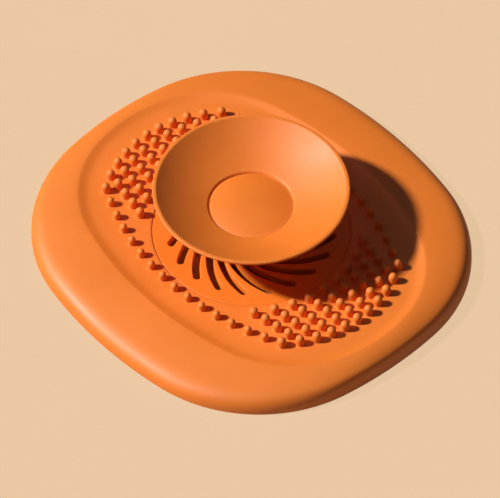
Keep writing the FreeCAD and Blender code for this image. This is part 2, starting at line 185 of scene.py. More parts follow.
# Cup and button.
CUP_TURNS = 240
CUP_RADIUS = 36.9 * MM
CUP_RIM = cup_high.z + 1.1 * MM
CUP_FOOT_RADIUS = 13.0 * MM
CUP_BORE = 3.05 * MM
CUP_BORE_ROUND = 0.2 * MM
CUP_LIP_WIDTH = 1.35 * MM
CUP_LIP_DEPTH = 0.9 * MM
CUP_LIP_DIP = 0.05 * MM
CUP_LIP_ROUND = 0.45 * MM
CUP_LIP_INNER_ROUND = 0.25 * MM
BOWL_BOW = 68.0 * MM
BOWL_STEPS = 30
BOWL_BACK_BOW = 55.0 * MM
BOWL_BACK_STEPS = 26
RECESS_RADIUS = 15.75 * MM
RECESS_MOUTH = 16.5 * MM
RECESS_MOUTH_ROUND = 0.4 * MM
RECESS_FLOOR = CUP_FOOT + 1.8 * MM
RECESS_EDGE = CUP_FOOT + 4.3 * MM
CREASE_DEPTH = 0.75 * MM
BUTTON_TURNS = 160
BUTTON_RADIUS = 15.8 * MM
BUTTON_EDGE = RECESS_EDGE - CREASE_DEPTH + 0.05 * MM
BUTTON_ROUND = 0.25 * MM
BUTTON_FOOT_ROUND = 0.2 * MM
BUTTON_TOP = button_high.z
BUTTON_DOME_STEPS = 24
SPIGOT_RADIUS = 3.0 * MM
SPIGOT_ROUND = 0.3 * MM

# Angles in degrees past which an edge stays sharp.
MAT_CREASE = 60
SOFT_CREASE = 50
CREASE = 38

ON_AXIS = 1e-9


class Oval:
    """Outline of eight tangent arcs: two ends, two sides and four corners."""

    def __init__(self, half_length, half_width, end_bow, side_bow, corner_bow):
        self.end_bow = end_bow
        self.side_bow = side_bow
        self.corner_bow = corner_bow
        self.end = Vector((half_length - end_bow, 0.0))
        self.side = Vector((0.0, half_width - side_bow))
        end_reach = end_bow - corner_bow
        side_reach = side_bow - corner_bow
        apart = self.side - self.end
        along = (end_reach ** 2 - side_reach ** 2 + apart.length ** 2) / (2 * apart.length)
        across = math.sqrt(end_reach ** 2 - along ** 2)
        ahead = apart.normalized()
        self.corner = self.end + ahead * along + Vector((-ahead.y, ahead.x)) * across

    def inset(self, x, y):
        """Distance inside the outline, negative outside."""
        point = Vector((abs(x), abs(y)))
        to_corner = self.corner - self.end
        if to_corner.cross(point - self.end) < 0:
            return self.end_bow - (point - self.end).length
        to_corner = self.corner - self.side
        if to_corner.cross(point - self.side) > 0:
            return self.side_bow - (point - self.side).length
        return self.corner_bow - (point - self.corner).length

    def reach(self, turn, inset):
        """Distance from the middle to the inset outline in one direction."""
        near = REACH_NEAR
        far = REACH_FAR
        for _ in range(REACH_HALVINGS):
            middle = (near + far) / 2
            if self.inset(middle * math.cos(turn), middle * math.sin(turn)) > inset:
                near = middle
            else:
                far = middle
        return (near + far) / 2


MAT_EDGE = Oval(HALF_LENGTH, HALF_WIDTH, MAT_END_BOW, MAT_SIDE_BOW, MAT_CORNER_BOW)
PAN_EDGE = Oval(PAN_HALF_LENGTH, PAN_HALF_WIDTH, PAN_END_BOW, PAN_SIDE_BOW, PAN_CORNER_BOW)


def facing(turn):
    """Unit direction in plan at a turn from +X."""
    return Vector((math.cos(turn), math.sin(turn)))


def round_steps(count):
    """Steps of a small quarter round: one share that rises from 0 to 1, one that falls to 0."""
    steps = []
    for step in range(count + 1):
        bend = math.pi / 2 * step / count
        steps.append((1 - math.cos(bend), 1 - math.sin(bend)))
    return steps


SMALL_ROUND = round_steps(4)
LIP_ROUND = round_steps(3)


def add_piece(name, mesh, body, node, finish, sharp=CREASE):
    """Puts a finished mesh in the scene in place of a plain solid of the frame."""
    mesh.shade_smooth()
    mesh.set_sharp_from_angle(angle=math.radians(sharp))
    mesh.materials.append(finish)
    piece = bpy.data.objects.new(name, mesh)
    bpy.context.collection.objects.link(piece)
    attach(piece, body)
    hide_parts(node)
    return piece


def skin_mesh(name, points, faces):
    """Mesh of a closed skin with every face turned outwards."""
    mesh = bpy.data.meshes.new(name)
    mesh.from_pydata(points, [], faces)
    work = bmesh.new()
    work.from_mesh(mesh)
    bmesh.ops.recalc_face_normals(work, faces=work.faces)
    work.to_mesh(mesh)
    work.free()
    return mesh


def wrapped_mesh(name, columns):
    """Closed skin from columns of points that wrap both ways."""
    count = len(columns)
    deep = len(columns[0])
    points = [point for column in columns for point in column]
    faces = []
    for i in range(count):
        j = (i + 1) % count
        for k in range(deep):
            m = (k + 1) % deep
            faces.append((i * deep + k, j * deep + k, j * deep + m, i * deep + m))
    return skin_mesh(name, points, faces)


def turned_points(outline, turns, middle=(0.0, 0.0), base=0.0, lean=(0.0, 0.0), first=0):
    """Points and faces of an outline of (radius, height) turned about an upright axis.
    A point on the axis closes the form; otherwise the outline joins its own start."""
    points = []
    rows = []
    for radius, height in outline:
        shift_x = middle[0] + lean[0] * height
        shift_y = middle[1] + lean[1] * height
        if radius < ON_AXIS:
            rows.append([first + len(points)])
            points.append((shift_x, shift_y, base + height))
            continue
        row = []
        for k in range(turns):
            turn = 2 * math.pi * k / turns
            row.append(first + len(points))
            points.append((shift_x + radius * math.cos(turn),
                           shift_y + radius * math.sin(turn), base + height))
        rows.append(row)
    pairs = list(zip(rows, rows[1:]))
    if len(rows[0]) > 1 and len(rows[-1]) > 1:
        pairs.append((rows[-1], rows[0]))
    faces = []
    for low, high in pairs:
        for k in range(turns):
            m = (k + 1) % turns
            face = [low[k % len(low)], low[m % len(low)], high[m % len(high)], high[k % len(high)]]
            faces.append(tuple(dict.fromkeys(face)))
    return points, faces


def lathe(name, corners, turns):
    """Mesh of one turned form, from (radius, height, round) corners."""
    points, faces = turned_points(softened(corners), turns)
    return skin_mesh(name, points, faces)


def softened(corners, steps=5):
    """Outline from (radius, height, round) corners, each rounded between its neighbours."""
    count = len(corners)
    outline = []
    for k, (radius, height, soft) in enumerate(corners):
        here = Vector((radius, height))
        if soft <= 0:
            outline.append((radius, height))
            continue
        before = Vector(corners[k - 1][:2]) - here
        after = Vector(corners[(k + 1) % count][:2]) - here
        before.normalize()
        after.normalize()
        half = before.angle(after) / 2
        leave = soft / math.tan(half)
        centre = here + (before + after).normalized() * (soft / math.sin(half))
        start = here + before * leave - centre
        end = here + after * leave - centre
        sweep = start.angle(end)
        for step in range(steps + 1):
            share = step / steps
            part = start * math.sin((1 - share) * sweep) + end * math.sin(share * sweep)
            outline.append(tuple(centre + part / math.sin(sweep)))
    return outline


def arc_centre(start, end, bow):
    """Centre of the arc of a given radius from start to end, left of the chord."""
    chord = end - start
    left = Vector((-chord.y, chord.x)).normalized()
    return (start + end) / 2 + left * math.sqrt(bow ** 2 - (chord.length / 2) ** 2)


def bowed(start, end, bow, steps):
    """Corners between two (radius, height) points on an arc that sags below the chord."""
    start = Vector(start)
    end = Vector(end)
    centre = arc_centre(start, end, bow)
    first = math.atan2(start.y - centre.y, start.x - centre.x)
    last = math.atan2(end.y - centre.y, end.x - centre.x)
    corners = []
    for step in range(1, steps):
        turn = first + (last - first) * step / steps
        corners.append((centre.x + bow * math.cos(turn), centre.y + bow * math.sin(turn), 0.0))
    return corners


def puffed(share, power):
    """Climb from 0 to 1, upright at the start and level at the end."""
    out = max(0.0, 1.0 - share)
    return (1.0 - out ** power) ** (1 / power)


def between(end, side, width):
    """Value where the rim has a given width, from those at the narrow ends and broad sides."""
    broad = min(max((width - END_RIM) / (SIDE_RIM - END_RIM), 0.0), 1.0)
    return end + (side - end) * broad


def rim_height(inset, width):
    """Rim above the floor at a distance inside the mat's edge: a tight round and a crown."""
    corner = puffed(inset / between(END_CORNER, SIDE_CORNER, width),
                    between(END_CORNER_POWER, SIDE_CORNER_POWER, width))
    crown_reach = width * between(END_CROWN_SHARE, SIDE_CROWN_SHARE, width)
    crown = puffed(inset / crown_reach, between(END_CROWN_POWER, SIDE_CROWN_POWER, width))
    tall = PAN_TOP + between(END_STEP_RISE, SIDE_STEP_RISE, width) - EDGE_UPRIGHT
    share = between(END_CORNER_SHARE, SIDE_CORNER_SHARE, width)
    return EDGE_UPRIGHT + tall * (share * corner + (1 - share) * crown)


def step_height(offset, width):
    """Pan floor and the soft step that climbs out of it, at a distance outside the pan's edge."""
    slope = between(END_STEP_SLOPE, SIDE_STEP_SLOPE, width)
    foot = -between(END_STEP_RISE, SIDE_STEP_RISE, width) / slope / 2
    climb = (offset - foot) / STEP_SOFTNESS
    if climb < STEP_STRAIGHT:
        climb = math.log1p(math.exp(climb))
    return PAN_TOP + slope * STEP_SOFTNESS * climb


def mat_top(x, y):
    """Height of the mat's upper skin."""
    inset = MAT_EDGE.inset(x, y)
    offset = -PAN_EDGE.inset(x, y)
    width = inset + offset
    rim = rim_height(inset, width)
    step = step_height(offset, width)
    lower = min(rim, step)
    higher = max(rim, step)
    return lower - CREST_SOFTNESS * math.log1p(math.exp((lower - higher) / CREST_SOFTNESS))


def mat_section(turn, along):
    """Closed section of the mat in one direction, as (reach, height), from the seat outwards."""
    top_stations = 112
    edge_stations = 18
    edge_start = 2.2 * MM
    edge_crowding = 3
    foot_shares = (0.03, 0.35, 0.68, 0.97)
    roof_shares = (0.1, 0.5, 0.9)
    section = []
    for rising, falling in SMALL_ROUND:
        section.append((SEAT_RADIUS + SEAT_EDGE_WIDTH * rising, PAN_TOP - SEAT_EDGE_DROP * falling))
    near = SEAT_RADIUS + SEAT_EDGE_WIDTH
    far = MAT_EDGE.reach(turn, edge_start)
    for step in range(1, top_stations + 1):
        reach = near + (far - near) * step / top_stations
        section.append((reach, mat_top(along.x * reach, along.y * reach)))
    width = edge_start - PAN_EDGE.inset(along.x * far, along.y * far)
    for step in range(1, edge_stations + 1):
        inset = edge_start * (1 - step / edge_stations) ** edge_crowding
        section.append((MAT_EDGE.reach(turn, inset), rim_height(inset, width)))
    for rising, falling in SMALL_ROUND:
        section.append((MAT_EDGE.reach(turn, BASE_ROUND * rising), BASE_ROUND * falling))
    hollow = PAN_EDGE.reach(turn, HOLLOW_INSET)
    foot = MAT_EDGE.reach(turn, BASE_ROUND)
    for share in foot_shares:
        section.append((foot + (hollow + BASE_ROUND - foot) * share, 0.0))
    for rising, falling in SMALL_ROUND:
        section.append((hollow + BASE_ROUND * falling, BASE_ROUND * rising))
    section.append((hollow, HOLLOW_TOP / 2))
    for rising, falling in SMALL_ROUND:
        section.append((hollow - BASE_ROUND * rising, HOLLOW_TOP - BASE_ROUND * falling))
    roof = hollow - BASE_ROUND
    for share in roof_shares:
        section.append((roof + (LEDGE_BORE + SEAT_LIP - hollow + BASE_ROUND) * share, HOLLOW_TOP))
    for rising, falling in LIP_ROUND:
        section.append((LEDGE_BORE + SEAT_LIP * falling, HOLLOW_TOP + SEAT_LIP * rising))
    for rising, falling in LIP_ROUND:
        section.append((LEDGE_BORE + SEAT_LIP * rising, LEDGE_TOP - SEAT_LIP * falling))
    section.append((SEAT_RADIUS - SEAT_CHAMFER, LEDGE_TOP))
    section.append((SEAT_RADIUS, LEDGE_TOP + SEAT_CHAMFER))
    return section


def build_mat(finish):
    """Soft mat: rounded edge, crowned rim, oval pan, seat, ledge and the hollow underneath."""
    rays = 420
    columns = []
    for ray in range(rays):
        turn = 2 * math.pi * ray / rays
        along = facing(turn)
        columns.append([(along.x * reach, along.y * reach, height)
                        for reach, height in mat_section(turn, along)])
    mesh = wrapped_mesh("soft_mat", columns)
    return add_piece("soft_mat", mesh, "mat", "mat", finish, MAT_CREASE)


def crescent_pin(row, rank):
    """Place of a pin in the crescent on +X, counted back from the front row and from the middle."""
    y = rank * (RANK_PITCH + RANK_SPREAD * row)
    bow = CRESCENT_BOW - math.sqrt(CRESCENT_BOW ** 2 - y ** 2)
    return CRESCENT_FRONT - ROW_PITCH * row - bow, y


def pin_places():
    """Where the hair pins stand and their share of full size: two crescents, and a
    single chain of smaller pins along each side."""
    places = []
    for end in (1, -1):
        for row in range(ROW_COUNT):
            ranks = FRONT_RANK_COUNT if row == 0 else RANK_COUNT
            for rank in range(-ranks, ranks + 1):
                x, y = crescent_pin(row, rank)
                places.append((end * x, y, 1.0))
    tip_x = crescent_pin(0, FRONT_RANK_COUNT)[0]
    half_turn = math.asin(tip_x / CHAIN_BOW)
    for side in (1, -1):
        for number in range(1, CHAIN_COUNT + 1):
            turn = half_turn * (2 * number / (CHAIN_COUNT + 1) - 1)
            y = side * (CHAIN_REACH - CHAIN_BOW + CHAIN_BOW * math.cos(turn))
            places.append((CHAIN_BOW * math.sin(turn), y, CHAIN_PIN_SHARE))
    return places


def build_hair_pins(finish):
    """Domed pins, moulded with a small fillet at the foot and never quite alike."""
    draw = random.Random(PIN_SEED)
    points = []
    faces = []
    for x, y, share in pin_places():
        tall = share * PIN_STAND * (1 - PIN_SHORTFALL * draw.random())
        head = share * PIN_RADIUS
        foot = share * PIN_FOOT
        lean = (draw.uniform(-PIN_LEAN, PIN_LEAN), draw.uniform(-PIN_LEAN, PIN_LEAN))
        outline = [(0.0, -PIN_SINK), (foot + PIN_FILLET, -PIN_SINK)]
        for rising, falling in SMALL_ROUND:
            outline.append((foot + PIN_FILLET * falling, PIN_FILLET * rising))
        neck = tall - head
        for climb in PIN_SHANK_SHARES:
            outline.append((foot + (head - foot) * climb, PIN_FILLET + (neck - PIN_FILLET) * climb))
        for step in range(PIN_DOME_STEPS):
            bend = math.pi / 2 * step / PIN_DOME_STEPS
            outline.append((head * math.cos(bend), neck + head * math.sin(bend)))
        outline.append((0.0, tall))
        more_points, more_faces = turned_points(outline, PIN_TURNS, (x, y), PAN_TOP, lean, len(points))
        points += more_points
        faces += more_faces
    mesh = skin_mesh("hair_catching_pins", points, faces)
    return add_piece("hair_catching_pins", mesh, "mat", "hair_pins", finish, SOFT_CREASE)


def slot_outline(number, half_width):
    """Bent slot with round ends, anticlockwise."""
    turn = SLOT_TURN + 2 * math.pi * number / SLOT_COUNT
    inner = facing(turn - SLOT_SWIRL * math.log(SLOT_OUTER / SLOT_INNER)) * SLOT_INNER
    outer = facing(turn) * SLOT_OUTER
    centre = arc_centre(inner, outer, SLOT_BEND)
    first = math.atan2(inner.y - centre.y, inner.x - centre.x)
    sweep = 2 * math.asin((outer - inner).length / 2 / SLOT_BEND)
    points = []
    for step in range(SLOT_SIDE_STEPS + 1):
        angle = first + sweep * step / SLOT_SIDE_STEPS
        points.append(centre + facing(angle) * (SLOT_BEND + half_width))
    for step in range(1, SLOT_END_STEPS):
        angle = first + sweep + math.pi * step / SLOT_END_STEPS
        points.append(outer + facing(angle) * half_width)
    for step in range(SLOT_SIDE_STEPS + 1):
        angle = first + sweep * (1 - step / SLOT_SIDE_STEPS)
        points.append(centre + facing(angle) * (SLOT_BEND - half_width))
    for step in range(1, SLOT_END_STEPS):
        angle = first + math.pi + math.pi * step / SLOT_END_STEPS
        points.append(inner + facing(angle) * half_width)
    return points


def round_outline(radius, count):
    """Circle about the plug's axis, anticlockwise."""
    return [facing(2 * math.pi * k / count) * radius for k in range(count)]


def eased(level, soft, under=False):
    """Offsets and heights of a rounded edge, from the flat upper or under face to the wall."""
    drop = -1 if under else 1
    stations = [(soft + EDGE_SUPPORT, level)]
    for rising, falling in SMALL_ROUND:
        stations.append((soft * falling, level - drop * soft * rising))
    if under:
        stations.reverse()
    return stations


def build_grille(finish):
    """Flat slotted disc with a flange on the ledge and a hub for the grommet."""
    work = bmesh.new()
    top_rings = []
    under_rings = []

    def add_wall(outlines):
        """Joins outlines given as (points, height), from the upper face down to the under face."""
        rings = []
        for outline, height in outlines:
            rings.append([work.verts.new((point.x, point.y, height)) for point in outline])
        for low, high in zip(rings, rings[1:]):
            for k in range(len(low)):
                m = (k + 1) % len(low)
                work.faces.new((low[k], low[m], high[m], high[k]))
        top_rings.append(rings[0])
        under_rings.append(rings[-1])

    under_edge = eased(PLATE_UNDER, UNDER_ROUND, under=True)
    for number in range(SLOT_COUNT):
        add_wall([(slot_outline(number, SLOT_HALF_WIDTH + offset), height)
                  for offset, height in eased(GRILLE_TOP, SLOT_ROUND) + under_edge])
    stations = [(GRILLE_RADIUS - offset, height) for offset, height in eased(GRILLE_TOP, RIM_ROUND)]
    stations += [(GRILLE_RADIUS, FLANGE_UNDER + UNDER_ROUND), (GRILLE_RADIUS - UNDER_ROUND, FLANGE_UNDER),
                 (PLATE_RADIUS + EDGE_SUPPORT, FLANGE_UNDER), (PLATE_RADIUS, FLANGE_UNDER - EDGE_SUPPORT)]
    stations += [(PLATE_RADIUS - offset, height) for offset, height in under_edge]
    add_wall([(round_outline(radius, GRILLE_TURNS), height) for radius, height in stations])
    stations = [(HUB_BORE + offset, height) for offset, height in eased(GRILLE_TOP, UNDER_ROUND)]
    stations += [(HUB_BORE, HUB_UNDER + UNDER_ROUND), (HUB_BORE + UNDER_ROUND, HUB_UNDER),
                 (HUB_RADIUS - UNDER_ROUND, HUB_UNDER), (HUB_RADIUS, HUB_UNDER + UNDER_ROUND),
                 (HUB_RADIUS, PLATE_UNDER - EDGE_SUPPORT), (HUB_RADIUS + EDGE_SUPPORT, PLATE_UNDER)]
    add_wall([(round_outline(radius, HUB_TURNS), height) for radius, height in stations])
    for rings, normal in ((top_rings, (0, 0, 1)), (under_rings, (0, 0, -1))):
        edges = []
        for ring in rings:
            for k in range(len(ring)):
                edges.append(work.edges.get((ring[k], ring[(k + 1) % len(ring)])))
        bmesh.ops.triangle_fill(work, use_beauty=True, edges=edges, normal=normal)
    bmesh.ops.recalc_face_normals(work, faces=work.faces)
    mesh = bpy.data.meshes.new("swirl_grille")
    work.to_mesh(mesh)
    work.free()
    return add_piece("swirl_grille", mesh, "mat", "grille", finish)


def build_stem_grommet(finish):
    """Soft spool round the stem with a flange above and below the hub."""
    low = grommet_low.z
    high = grommet_high.z
    corners = [
        (GROMMET_BORE, low, GROMMET_ROUND),
        (GROMMET_REACH, low, GROMMET_ROUND),
        (GROMMET_REACH, low + GROMMET_FLANGE, GROMMET_ROUND),
        (GROMMET_NECK, low + GROMMET_FLANGE, 0.0),
        (GROMMET_NECK, high - GROMMET_FLANGE, 0.0),
        (GROMMET_REACH, high - GROMMET_FLANGE, GROMMET_ROUND),
        (GROMMET_REACH, high, GROMMET_ROUND),
        (GROMMET_BORE, high, GROMMET_ROUND),
    ]
    return add_piece("soft_stem_grommet", lathe("soft_stem_grommet", corners, STEM_TURNS),
                     "mat", "stem_grommet", finish)


def build_plug_stem(finish):
    """Sliding stem with a groove for the clip and a socket for the button's spigot."""
    low = stem_low.z
    high = stem_high.z
    corners = [
        (0.0, low, 0.0),
        (STEM_RADIUS - STEM_CHAMFER, low, STEM_ROUND),
        (STEM_RADIUS, low + STEM_CHAMFER, STEM_ROUND),
        (STEM_RADIUS, GROOVE_LOW, STEM_ROUND),
        (GROOVE_RADIUS, GROOVE_LOW, 0.0),
        (GROOVE_RADIUS, GROOVE_HIGH, 0.0),
        (STEM_RADIUS, GROOVE_HIGH, STEM_ROUND),
        (STEM_RADIUS, high, STEM_ROUND),
        (SOCKET_RADIUS, high, STEM_ROUND),
        (SOCKET_RADIUS, SOCKET_FLOOR, 0.0),
        (0.0, SOCKET_FLOOR, 0.0),
    ]
    return add_piece("sliding_stem", lathe("sliding_stem", corners, STEM_TURNS),
                     "plug", "plug_stem", finish)


def build_plug_cup(finish):
    """Up-turned soft cup with a full lip and a recess for the button."""
    rim_out = (CUP_RADIUS, CUP_RIM - CUP_LIP_DEPTH)
    rim_in = (CUP_RADIUS - CUP_LIP_WIDTH, CUP_RIM - CUP_LIP_DIP)
    corners = [(CUP_BORE, CUP_FOOT, CUP_BORE_ROUND), (CUP_FOOT_RADIUS, CUP_FOOT, 0.0)]
    corners += bowed((CUP_FOOT_RADIUS, CUP_FOOT), rim_out, BOWL_BACK_BOW, BOWL_BACK_STEPS)
    corners += [(*rim_out, 0.0), (CUP_RADIUS, CUP_RIM, CUP_LIP_ROUND), (*rim_in, CUP_LIP_INNER_ROUND)]
    corners += bowed((RECESS_MOUTH, RECESS_EDGE), rim_in, BOWL_BOW, BOWL_STEPS)[::-1]
    corners += [(RECESS_MOUTH, RECESS_EDGE, RECESS_MOUTH_ROUND),
                (RECESS_RADIUS, RECESS_EDGE - CREASE_DEPTH, 0.0),
                (RECESS_RADIUS, RECESS_FLOOR, 0.0),
                (CUP_BORE, RECESS_FLOOR, CUP_BORE_ROUND)]
    cup = add_piece("soft_cup", lathe("soft_cup", corners, CUP_TURNS),
                    "plug", "plug_cup", finish, SOFT_CREASE)
    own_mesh(cup)
    return cup


def build_plug_button(finish):
    """Domed button with a soft edge, and the spigot that holds it in the stem."""
    rise = BUTTON_TOP - BUTTON_EDGE
    reach = BUTTON_RADIUS - BUTTON_ROUND
    bow = (reach ** 2 + rise ** 2) / (2 * rise)
    corners = [
        (0.0, button_low.z, 0.0),
        (SPIGOT_RADIUS, button_low.z, SPIGOT_ROUND),
        (SPIGOT_RADIUS, RECESS_FLOOR, 0.0),
        (BUTTON_RADIUS, RECESS_FLOOR, BUTTON_FOOT_ROUND),
        (BUTTON_RADIUS, BUTTON_EDGE, BUTTON_ROUND),
    ]
    for step in range(BUTTON_DOME_STEPS):
        radius = reach * (1 - step / BUTTON_DOME_STEPS)
        corners.append((radius, BUTTON_TOP - bow + math.sqrt(bow ** 2 - radius ** 2), 0.0))
    corners.append((0.0, BUTTON_TOP, 0.0))
    button = add_piece("domed_button", lathe("domed_button", corners, BUTTON_TURNS),
                       "plug", "plug_button", finish)
    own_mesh(button)
    return button


def paint(red, green, blue):
    """Linear colour of an 8-bit screen colour."""
    parts = []
    for value in (red, green, blue):
        share = value / 255
        parts.append(share / 12.92 if share <= 0.04045 else ((share + 0.055) / 1.055) ** 2.4)
    return (*parts, 1.0)


def new_group(name, inputs, outputs):
    """Empty shader group with named sockets; inputs give (name, kind, value)."""
    group = bpy.data.node_groups.new(name, "ShaderNodeTree")
    for label, kind, value in inputs:
        socket = group.interface.new_socket(label, in_out="INPUT", socket_type=kind)
        socket.default_value = value
    for label, kind in outputs:
        group.interface.new_socket(label, in_out="OUTPUT", socket_type=kind)
    return group, group.nodes.new("NodeGroupInput"), group.nodes.new("NodeGroupOutput")


def feed(tree, socket, value):
    """Gives a socket a link or a plain number."""
    if hasattr(value, "links"):
        tree.links.new(value, socket)
    else:
        socket.default_value = value


def math_node(tree, operation, *values):
    """Math node fed by sockets or plain numbers."""
    node = tree.nodes.new("ShaderNodeMath")
    node.operation = operation
    for socket, value in zip(node.inputs, values):
        feed(tree, socket, value)
    return node.outputs[0]


def noise_node(tree, place, scale, detail, roughness=0.5):
    """Noise over the piece's own coordinates; the scale is a socket or a number."""
    node = tree.nodes.new("ShaderNodeTexNoise")
    tree.links.new(place, node.inputs["Vector"])
    feed(tree, node.inputs["Scale"], scale)
    node.inputs["Detail"].default_value = detail
    node.inputs["Roughness"].default_value = roughness
    return node.outputs["Fac"]


def make_moulded_skin():
    """Matte moulded skin: cloudy colour, uneven sheen and a fine grain."""
    cloud_gain = 4.0
    cloud_sheen = 0.25
    grain_tint = 0.06
    grain_sheen = 0.08
    tree, given, result = new_group(
        "moulded_skin",
        (("Colour", "NodeSocketColor", (0.8, 0.8, 0.8, 1.0)),
         ("Cloud Scale", "NodeSocketFloat", 40.0),
         ("Cloud Depth", "NodeSocketFloat", 0.05),
         ("Grain Scale", "NodeSocketFloat", 1800.0),
         ("Sheen", "NodeSocketFloat", 0.55)),
        (("Colour", "NodeSocketColor"), ("Roughness", "NodeSocketFloat"), ("Height", "NodeSocketFloat")))
    place = tree.nodes.new("ShaderNodeTexCoord").outputs["Object"]
    clouds = noise_node(tree, place, given.outputs["Cloud Scale"], 4.0, 0.55)
    grain = noise_node(tree, place, given.outputs["Grain Scale"], 2.0, 0.6)
    centred = math_node(tree, "SUBTRACT", clouds, 0.5)
    depth = math_node(tree, "MULTIPLY", centred, given.outputs["Cloud Depth"])
    grain_value = math_node(tree, "MULTIPLY_ADD", grain, grain_tint, 1 - grain_tint / 2)
    value = math_node(tree, "MULTIPLY_ADD", depth, cloud_gain, grain_value)
    tint = tree.nodes.new("ShaderNodeHueSaturation")
    tree.links.new(given.outputs["Colour"], tint.inputs["Color"])
    tree.links.new(value, tint.inputs["Value"])
    tree.links.new(tint.outputs["Color"], result.inputs["Colour"])
    sheen = math_node(tree, "MULTIPLY_ADD", centred, cloud_sheen, given.outputs["Sheen"])
    sheen = math_node(tree, "MULTIPLY_ADD", grain, grain_sheen, sheen)
    tree.links.new(sheen, result.inputs["Roughness"])
    tree.links.new(grain, result.inputs["Height"])
    return tree


def make_wear_and_edge_highlight():
    """Colour that pales on edges and heads: a painted highlight of light through and off them, with the
    wear that fingers and water rub.
    """
    edge_from = 0.52
    edge_full = 0.60
    patch_scale = 220.0
    patch_gain = 1.2
    patch_least = 0.4
    tree, given, result = new_group(
        "wear_and_edge_highlight",
        (("Colour", "NodeSocketColor", (0.8, 0.8, 0.8, 1.0)),
         ("Rubbed Colour", "NodeSocketColor", (0.9, 0.9, 0.9, 1.0)),
         ("Amount", "NodeSocketFloat", 0.3)),
        (("Colour", "NodeSocketColor"),))
    # Painted highlight with some wear: the sharper the convex edge or head, the paler its colour.
    edge = tree.nodes.new("ShaderNodeNewGeometry").outputs["Pointiness"]
    spread = tree.nodes.new("ShaderNodeMapRange")
    spread.inputs["From Min"].default_value = edge_from
    spread.inputs["From Max"].default_value = edge_full
    tree.links.new(edge, spread.inputs["Value"])
    place = tree.nodes.new("ShaderNodeTexCoord").outputs["Object"]
    patches = noise_node(tree, place, patch_scale, 3.0)
    share = math_node(tree, "MULTIPLY", spread.outputs["Result"], given.outputs["Amount"])
    patchy = math_node(tree, "MULTIPLY_ADD", patches, patch_gain, patch_least)
    share = math_node(tree, "MULTIPLY", share, patchy)
    mix = tree.nodes.new("ShaderNodeMix")
    mix.data_type = "RGBA"
    tree.links.new(share, mix.inputs["Factor"])
    tree.links.new(given.outputs["Colour"], mix.inputs["A"])
    tree.links.new(given.outputs["Rubbed Colour"], mix.inputs["B"])
    tree.links.new(mix.outputs["Result"], result.inputs["Colour"])
    return tree


MOULDED_SKIN = make_moulded_skin()
WEAR_AND_EDGE_HIGHLIGHT = make_wear_and_edge_highlight()

ORANGE = paint(236, 122, 29)
# Pale orange of the painted edge highlight, which also stands for wear.
PALE_ORANGE = paint(250, 165, 96)
DEEP_ORANGE = paint(204, 96, 34)
PAPER_PEACH = paint(240, 205, 167)
STEEL_GREY = paint(188, 189, 190)


def new_finish(name):
    """Material with its surface shader."""
    finish = bpy.data.materials.new(name)
    finish.use_nodes = True
    tree = finish.node_tree
    return finish, tree, tree.nodes["Principled BSDF"]


def placed(tree, group, **values):
    """Group node with values for its named inputs; underscores stand for spaces."""
    node = tree.nodes.new("ShaderNodeGroup")
    node.node_tree = group
    for label, value in values.items():
        node.inputs[label.replace("_", " ")].default_value = value
    return node


def add_bump(tree, shader, height, strength, distance):
    """Small relief on the shader's normal."""
    bump = tree.nodes.new("ShaderNodeBump")
    bump.inputs["Strength"].default_value = strength
    bump.inputs["Distance"].default_value = distance
    tree.links.new(height, bump.inputs["Height"])
    tree.links.new(bump.outputs["Normal"], shader.inputs["Normal"])


def make_moulded(name, wear_and_highlight, relief, relief_depth, **skin_values):
    """Matte moulded finish with a fine relief, its edges paled by a painted highlight with some wear."""
    finish, tree, shader = new_finish(name)
    skin = placed(tree, MOULDED_SKIN, **skin_values)
    edge = placed(tree, WEAR_AND_EDGE_HIGHLIGHT, Rubbed_Colour=PALE_ORANGE, Amount=wear_and_highlight)
    tree.links.new(skin.outputs["Colour"], edge.inputs["Colour"])
    tree.links.new(edge.outputs["Colour"], shader.inputs["Base Color"])
    tree.links.new(skin.outputs["Roughness"], shader.inputs["Roughness"])
    add_bump(tree, shader, skin.outputs["Height"], relief, relief_depth)
    return finish, shader


def make_silicone(name, colour, cloud_scale, cloud_depth, sheen, wear_and_highlight):
    """Matte silicone, faintly see-through."""
    finish, shader = make_moulded(name, wear_and_highlight, 0.12, 0.05 * MM, Colour=colour, Cloud_Scale=cloud_scale,
                                  Cloud_Depth=cloud_depth, Grain_Scale=1500.0, Sheen=sheen)
    shader.inputs["Specular IOR Level"].default_value = 0.72
    shader.inputs["Subsurface Weight"].default_value = 0.02
    shader.inputs["Subsurface Radius"].default_value = (1.0, 0.35, 0.12)
    shader.inputs["Subsurface Scale"].default_value = 0.7 * MM
    return finish


def make_plastic(name, colour):
    """Matte plastic, a little tighter in grain than the silicone."""
    finish, shader = make_moulded(name, 0.1, 0.1, 0.04 * MM, Colour=colour, Cloud_Scale=60.0,
                                  Cloud_Depth=0.03, Grain_Scale=2200.0, Sheen=0.48)
    shader.inputs["Specular IOR Level"].default_value = 0.45
    return finish


def make_spring_steel():
    """Brushed spring steel of the retaining clip."""
    brush_stretch = (300.0, 6000.0, 6000.0)
    brush_roughness = 0.25
    least_roughness = 0.22
    finish, tree, shader = new_finish("clip_spring_steel")
    skin = placed(tree, MOULDED_SKIN, Colour=STEEL_GREY, Cloud_Scale=300.0,
                  Cloud_Depth=0.04, Grain_Scale=3000.0, Sheen=0.3)
    place = tree.nodes.new("ShaderNodeTexCoord").outputs["Object"]
    stretch = tree.nodes.new("ShaderNodeMapping")
    stretch.inputs["Scale"].default_value = brush_stretch
    tree.links.new(place, stretch.inputs["Vector"])
    brushed = noise_node(tree, stretch.outputs["Vector"], 1.0, 2.0)
    tree.links.new(skin.outputs["Colour"], shader.inputs["Base Color"])
    roughness = math_node(tree, "MULTIPLY_ADD", brushed, brush_roughness, least_roughness)
    tree.links.new(roughness, shader.inputs["Roughness"])
    add_bump(tree, shader, brushed, 0.15, 0.02 * MM)
    shader.inputs["Metallic"].default_value = 1.0
    return finish


